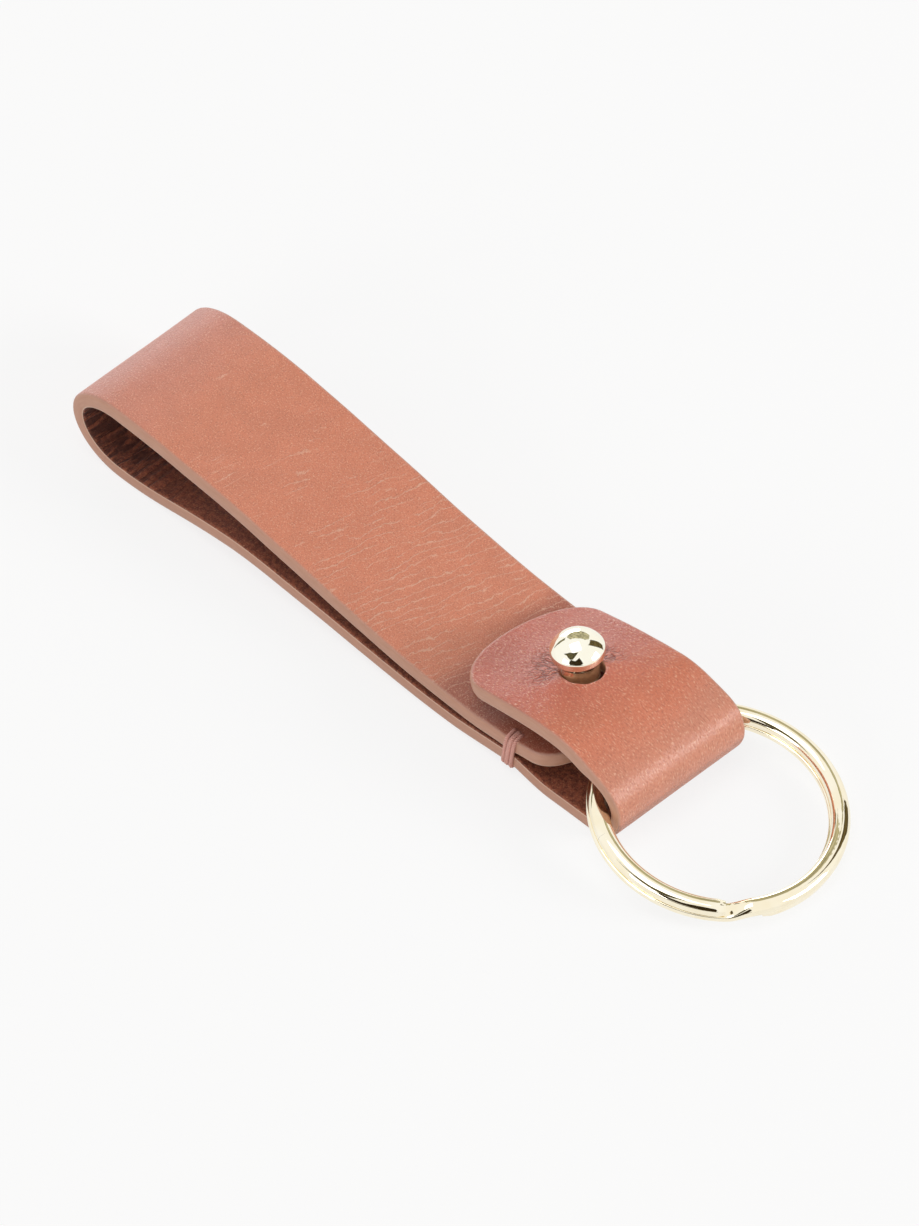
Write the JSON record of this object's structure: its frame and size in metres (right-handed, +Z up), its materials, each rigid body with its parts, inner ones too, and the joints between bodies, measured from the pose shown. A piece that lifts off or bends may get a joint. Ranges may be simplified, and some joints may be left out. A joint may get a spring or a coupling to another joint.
{
  "type": "leather key fob with split ring",
  "caption": "Folded leather strap with a hand loop, a flap buttoned on a domed stud, thread tacks and a split ring held in the fold, for carrying keys.",
  "frame": {"origin": "middle of the footprint, on the surface that the fob lies on", "axes": "+X along the strap from the hand loop to the split ring, +Y across it, +Z up out of the table"},
  "size_m": [0.1106, 0.03, 0.0154],
  "materials": {
    "face_leather": "smooth terracotta leather with a soft sheen",
    "lining_leather": "matt red-brown leather",
    "pale_brass": "polished pale brass",
    "rose_thread": "waxed twisted thread",
    "pale_gold": "polished pale gold plate"
  },
  "bodies": {
    "strap": {"strap_face": "face_leather", "strap_lining": "lining_leather", "stud_post": "pale_brass", "stud_screw": "pale_brass", "tack_near": "rose_thread", "tack_far": "rose_thread"},
    "flap": {"flap_face": "face_leather", "flap_lining": "lining_leather"},
    "ring": {"split_ring": "pale_gold"},
    "ring_tip": {"ring_free_end": "pale_gold"}
  },
  "joints": [
    {"name": "flap_open", "type": "hinge", "parent": "strap", "child": "flap", "pos_m": [0.03376, -0.0001, 0.00828], "axis": [0, 1, 0], "range_deg": [0, 115]},
    {"name": "ring_swing", "type": "hinge", "parent": "strap", "child": "ring", "pos_m": [0.02948, 0, 0.00525], "axis": [0, -1, 0], "range_deg": [0, 30]},
    {"name": "ring_pry", "type": "hinge", "parent": "ring", "child": "ring_tip", "pos_m": [0.03494, -0.01272, 0.00509], "axis": [-0.3918, -0.9167, 0.0779], "range_deg": [0, 10], "stiffness_Nm_per_rad": 0.3}
  ]
}
